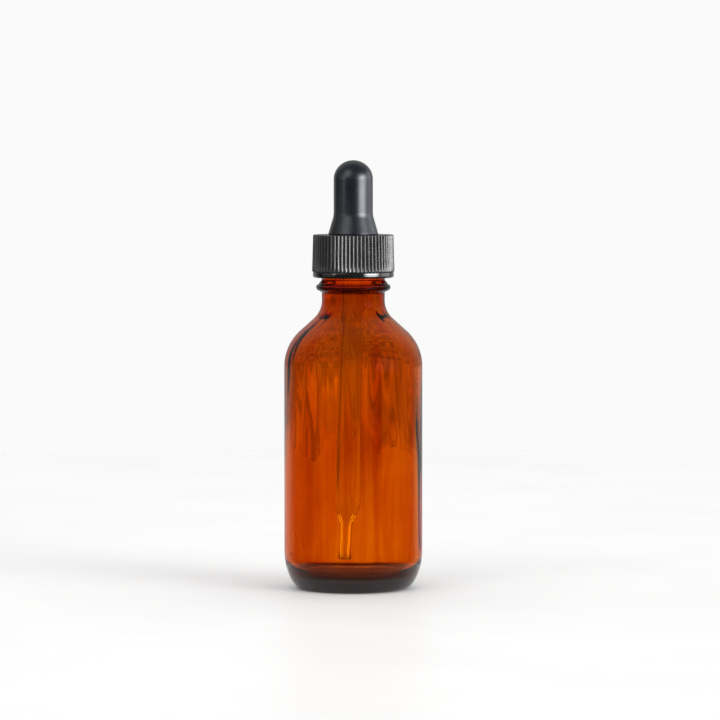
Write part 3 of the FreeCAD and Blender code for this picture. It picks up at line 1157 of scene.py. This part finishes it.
class Room(Nodes):
    """World light: pale to the eye, and for glass and gloss a room with windows in it."""

    def __init__(self, name: str) -> None:
        """Starts an empty world with a name."""
        self.world = bpy.data.worlds.new(name)
        self.world.use_nodes = True
        self.world.node_tree.nodes.clear()
        super().__init__(self.world.node_tree, "Generated")
        self.up = self.axis("Z")

    def times(self, a: Socket, b: Socket) -> Socket:
        """Product of two sockets."""
        return self.math("MULTIPLY", a, b)

    def glow(self, patch: Glow) -> Socket:
        """Strength of one patch: smooth steps of the cosine to its middle, and of its height.

        Args:
            patch: the patch, whose sill and lintel are the elevations where it fades out.

        Returns:
            The strength.
        """
        dot = self.add("ShaderNodeVectorMath", operation="DOT_PRODUCT")
        dot.inputs[1].default_value = tuple(unit(patch.azimuth, patch.elevation))
        self.link(self.coords, dot.inputs[0])
        near, far = math.cos(math.radians(patch.inner)), math.cos(math.radians(patch.outer))
        sill = [math.sin(math.radians(v)) for v in patch.sill]
        lintel = [math.sin(math.radians(v)) for v in patch.lintel]
        round_patch = self.spread(dot.outputs["Value"], 0.0, patch.strength, far, near)
        above = self.spread(self.up, 0.0, 1.0, *sill)
        below = self.spread(self.up, 1.0, 0.0, *lintel)
        return self.times(round_patch, self.times(above, below))

    def shares(self, mirrored: float, through: float) -> Socket:
        """How much of a light counts: all of it on soft gloss, and a share on glass.

        Args:
            mirrored: share that clear surfaces mirror, as a polarising filter leaves it.
            through: share that is seen through glass.

        Returns:
            The share.
        """
        path = self.add("ShaderNodeLightPath").outputs
        on_surface = self.spread(path["Is Singular Ray"], 1.0, mirrored)
        return self.between(path["Is Transmission Ray"], on_surface, through)

    def only(self, ray: str, strength: float) -> Socket:
        """Even light from all round that only one kind of ray meets, matt or through glass."""
        return self.spread(self.add("ShaderNodeLightPath").outputs[ray], 0.0, strength)

    def mottle(self, scale: float, low: float) -> Socket:
        """Soft noise over the room's directions, from low to 1."""
        return self.spread(self.noise(scale), low, 1.0, 0.32, 0.68)

    def finish(self, seen: Colour, light: Socket) -> None:
        """Joins what the camera sees and what lights the object.

        Args:
            seen: plain colour behind everything.
            light: strength of the room's light.
        """
        plain, room = self.add("ShaderNodeEmission"), self.add("ShaderNodeEmission")
        plain.inputs["Color"].default_value = (*seen, 1)
        self.link(light, room.inputs["Strength"])
        mix, output = self.add("ShaderNodeMixShader"), self.add("ShaderNodeOutputWorld")
        self.link(self.add("ShaderNodeLightPath").outputs["Is Camera Ray"], mix.inputs[0])
        self.link(room.outputs[0], mix.inputs[1])
        self.link(plain.outputs[0], mix.inputs[2])
        self.link(mix.outputs[0], output.inputs["Surface"])
        bpy.context.scene.world = self.world


@dataclass
class Studio:
    """Pale counter, a soft light, a room to reflect, and the camera. Sizes are in metres."""

    distance: float = 1.10
    eye_level: float = 0.130
    aim_level: float = 0.0642
    side_step: float = 0.00188
    sensor: float = 36.0
    lens: float = 196.25
    near_counter: float = 0.045
    far_counter: float = 0.47
    counter_rings: int = 16
    counter_columns: int = 96
    seen: Colour = (0.955, 0.955, 0.95)
    front: Pair = (0.025, 0.10)
    back: float = 0.72
    back_rise: float = 0.4
    beside: float = 0.36
    below_boost: float = 1.7
    mirrored_back: float = 0.6
    mirrored: float = 0.025
    fill: float = 0.49
    glows: tuple[Glow, ...] = (
        Glow(55, 5, 10, 27, 17.5, (-3.6, -1.2), (10.0, 31.0)),
        Glow(104, 8, 10, 30, 2.1, (-6.0, -2.0), (20.0, 40.0), 0.1),
        Glow(-57, 6, 3, 8, 4.0, (-3.6, -1.0), (9.0, 16.0)),
        Glow(-40, 34, 8, 30, 1.8),
        Glow(-80, 8, 6, 26, 0.5, (-3.4, -1.4)),
    )
    lamp_direction: Pair = (20.0, 75.0)
    lamp_distance: float = 1.2
    lamp_size: float = 1.1
    lamp_power: float = 3.1
    lamp_aim: float = 0.07

    def make_camera(self) -> None:
        """Level-standing camera that looks a little down at the bottle."""
        data = bpy.data.cameras.new("camera")
        data.sensor_width = self.sensor
        data.lens = self.lens
        camera = bpy.data.objects.new("camera", data)
        eye = np.array([self.side_step, -self.distance, self.eye_level])
        camera.location = eye
        camera.rotation_euler = look_along(np.array([self.side_step, 0.0, self.aim_level]) - eye)
        data.clip_start, data.clip_end = 0.05, 50.0
        bpy.context.scene.collection.objects.link(camera)
        bpy.context.scene.camera = camera

    def make_counter(self, name: str, inner: float, outer: float, finish: Material) -> Object:
        """Flat ring of the worktop: rings of points evenly spaced from outer to inner radius.

        Args:
            name: its name.
            inner: inner radius, 0 for a whole disc.
            outer: outer radius.
            finish: the worktop's material.

        Returns:
            The ring.
        """
        edge = np.linspace(outer, inner, self.counter_rings) / MM
        grid = lathe(np.stack([edge, np.zeros_like(edge)], 1), self.counter_columns)
        ring = make_piece(name, place(*grid), grid_faces(*grid[0].shape, Ends.OPEN))
        ring.data.materials.append(finish)
        return ring

    def make_room(self) -> None:
        """Room that is dim in front of the object, bright behind it, with soft windows."""
        room = Room("room")
        rise = room.spread(room.up, 0.0, self.back_rise, 0.1, 0.9)
        behind = room.spread(room.math("ADD", room.axis("Y"), rise), 0.0, self.back, 0.30, 0.88)
        behind = room.math("MAXIMUM", behind, room.only("Is Transmission Ray", self.beside))
        behind = room.times(behind, room.spread(room.up, self.below_boost, 1.0, -0.080, -0.035))
        behind = room.times(behind, room.shares(self.mirrored_back, 1.0))
        behind = room.times(behind, room.mottle(50.0, 0.48))
        behind = room.times(behind, room.mottle(120.0, 0.80))
        light = room.math("ADD", room.spread(room.up, *self.front, -0.03, 0.30), behind)
        light = room.math("ADD", light, room.only("Is Diffuse Ray", self.fill))
        for patch in self.glows:
            share = room.shares(self.mirrored, patch.through)
            light = room.math("ADD", light, room.times(room.glow(patch), share))
        room.finish(self.seen, light)

    def make_lamp(self) -> None:
        """Soft square light above, which gloss and glass don't show."""
        data = bpy.data.lights.new("soft_top", "AREA")
        data.shape = "RECTANGLE"
        data.size, data.size_y = self.lamp_size, self.lamp_size
        data.energy = self.lamp_power
        lamp = bpy.data.objects.new("soft_top", data)
        back = unit(*self.lamp_direction)
        lamp.location = np.array([0.0, 0.0, self.lamp_aim]) + back * self.lamp_distance
        lamp.rotation_euler = look_along(-back)
        lamp.visible_glossy = False
        lamp.visible_transmission = False
        bpy.context.scene.collection.objects.link(lamp)

    def make(self) -> None:
        """Sets the stage."""
        scene = bpy.context.scene
        scene.view_settings.view_transform = "Standard"
        scene.cycles.max_bounces = 20
        scene.cycles.transmission_bounces = 18
        self.make_camera()
        finish = PaleCounter().build()
        self.make_counter("counter_near", 0.0, self.near_counter, finish)
        far = self.make_counter("counter_far", self.near_counter, self.far_counter, finish)
        far.visible_glossy = False
        self.make_room()
        self.make_lamp()


def main() -> None:
    """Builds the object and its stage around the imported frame."""
    logging.basicConfig(level=logging.INFO, format="%(name)s: %(message)s")
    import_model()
    parts = (
        Bottle(AmberGlass().build(), span("bottle")[1]),
        ScrewCap(BlackPlastic().build(), *span("screw_cap")),
        Bulb(BlackRubber().build(), *span("rubber_bulb")),
        Pipette(ClearGlass().build()),
        Studio(),
    )
    for part in parts:
        part.make()


if __name__ == "__main__":
    main()
